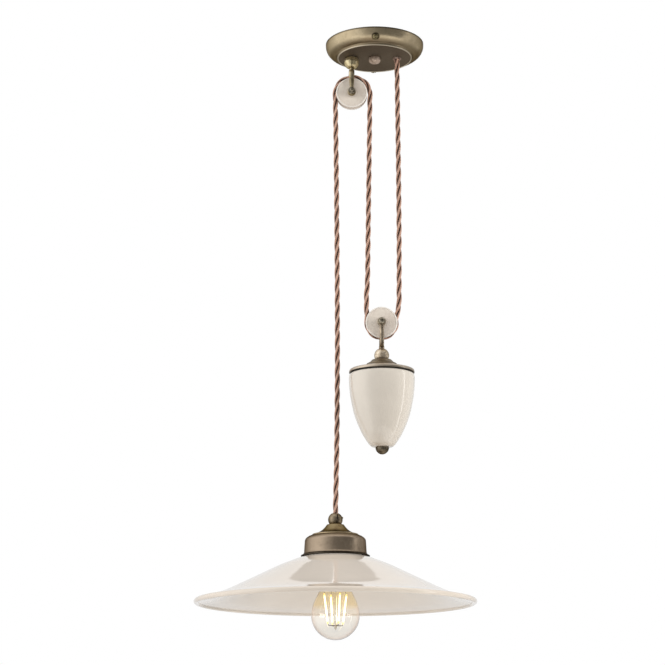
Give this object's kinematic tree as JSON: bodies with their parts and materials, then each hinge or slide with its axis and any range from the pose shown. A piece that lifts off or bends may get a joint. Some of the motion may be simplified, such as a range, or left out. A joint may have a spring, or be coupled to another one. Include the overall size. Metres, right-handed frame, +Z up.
{
  "type": "rise and fall pendant",
  "caption": "Rise and fall pendant light: wide cream ceramic shade on a twisted flex, with a pulley at the rose and a ceramic counterweight on a running pulley.",
  "frame": {"origin": "middle of the ceiling rose, on the ceiling face", "axes": "+Z up into the ceiling, +X from the lamp towards the counterweight, -Y towards the viewer; everything hangs below the origin"},
  "size_m": [0.35, 0.35, 0.7803],
  "materials": {
    "zinc_steel": "satin",
    "antique_brass": "satin",
    "aged_bronze": "satin",
    "bright_brass": "satin",
    "stone_brass": "matte",
    "bisque": "matte",
    "cream_glaze": "gloss",
    "white_porcelain": "gloss",
    "cream_plastic": "satin",
    "flex_braid": "satin",
    "black_rubber": "matte",
    "pale_rubber": "matte",
    "iron_ballast": "matte",
    "nickel": "satin",
    "cap_aluminium": "satin",
    "clear_glass": "polished",
    "filament": "gloss"
  },
  "bodies": {
    "ceiling_rose": {"ceiling_bracket": "zinc_steel", "bracket_nut": "zinc_steel", "centre_stud": "bright_brass", "rose_shell": "antique_brass", "rose_knob": "stone_brass", "rose_side_screws": "bright_brass", "hanger_ball": "bright_brass", "hanger_nut": "zinc_steel", "upper_fork": "bright_brass", "upper_axle": "aged_bronze", "upper_axle_nut": "aged_bronze", "upper_washers": "bright_brass", "flex_bush": "bright_brass", "flex_bush_nut": "bright_brass", "flex_clamp_base": "cream_plastic", "flex_clamp_bar": "zinc_steel", "flex_clamp_screws": "zinc_steel", "terminal_block": "cream_plastic", "terminal_screws": "bright_brass", "flex_rose_tail": "flex_braid", "flex_return": "flex_braid", "flex_middle": "flex_braid", "flex_over": "flex_braid"},
    "upper_wheel": {"upper_pulley": "bisque", "upper_bush": "bright_brass"},
    "flex_bight": {"flex_under": "flex_braid"},
    "lower_wheel": {"lower_pulley": "bisque", "lower_bush": "bright_brass"},
    "counterweight": {"lower_fork": "aged_bronze", "lower_axle": "aged_bronze", "lower_axle_nut": "aged_bronze", "lower_washers": "bright_brass", "weight_ball": "bright_brass", "weight_ball_washer": "black_rubber", "weight_lid": "antique_brass", "weight_gasket": "black_rubber", "weight_body": "cream_glaze", "weight_ballast": "iron_ballast", "weight_rod": "zinc_steel", "weight_finial": "aged_bronze"},
    "flex_fall": {"flex_drop": "flex_braid"},
    "lamp": {"grip_ball": "aged_bronze", "grip_screw": "aged_bronze", "lamp_nipple": "bright_brass", "nipple_nut": "zinc_steel", "gallery": "antique_brass", "shade_gasket": "pale_rubber", "shade": "cream_glaze", "shade_ring": "cream_plastic", "holder_body": "white_porcelain", "holder_core": "white_porcelain", "holder_terminals": "bright_brass", "holder_shell": "nickel", "holder_contact": "bright_brass", "flex_lamp_tail": "flex_braid"},
    "bulb": {"bulb_glass": "clear_glass", "bulb_cap": "cap_aluminium", "bulb_stem": "clear_glass", "bulb_filaments": "filament"}
  },
  "joints": [
    {"name": "upper_pulley_spin", "type": "hinge", "parent": "ceiling_rose", "child": "upper_wheel", "pos_m": [-0.0305, 0, -0.0685], "axis": [0, 1, 0], "continuous": true},
    {"name": "weight_rise", "type": "slide", "parent": "ceiling_rose", "child": "flex_bight", "axis": [0, 0, 1], "range_m": [-0.03, 0.225], "deforming": ["flex_middle", "flex_return"]},
    {"name": "lower_pulley_spin", "type": "hinge", "parent": "flex_bight", "child": "lower_wheel", "pos_m": [0.007, 0, -0.379], "axis": [0, 1, 0], "continuous": true},
    {"name": "weight_swing", "type": "hinge", "parent": "flex_bight", "child": "counterweight", "pos_m": [0.007, 0, -0.379], "axis": [0, 1, 0], "range_deg": [-8, 2]},
    {"name": "lamp_swing", "type": "hinge", "parent": "ceiling_rose", "child": "flex_fall", "pos_m": [-0.0521, 0, -0.0685], "axis": [0, 1, 0], "range_deg": [-1, 8]},
    {"name": "lamp_drop", "type": "slide", "parent": "flex_fall", "child": "lamp", "axis": [0, 0, 1], "range_m": [-0.45, 0.06], "deforming": ["flex_drop"]},
    {"name": "bulb_removal", "type": "slide", "parent": "lamp", "child": "bulb", "axis": [0, 0, 1], "range_m": [-0.12, 0]}
  ],
  "couplings": [
    {"joint": "weight_rise", "follows": "lamp_drop", "ratio": -0.5},
    {"joint": "upper_pulley_spin", "follows": "lamp_drop", "rad_per_m": 46.296},
    {"joint": "lower_pulley_spin", "follows": "lamp_drop", "rad_per_m": -26.882}
  ]
}
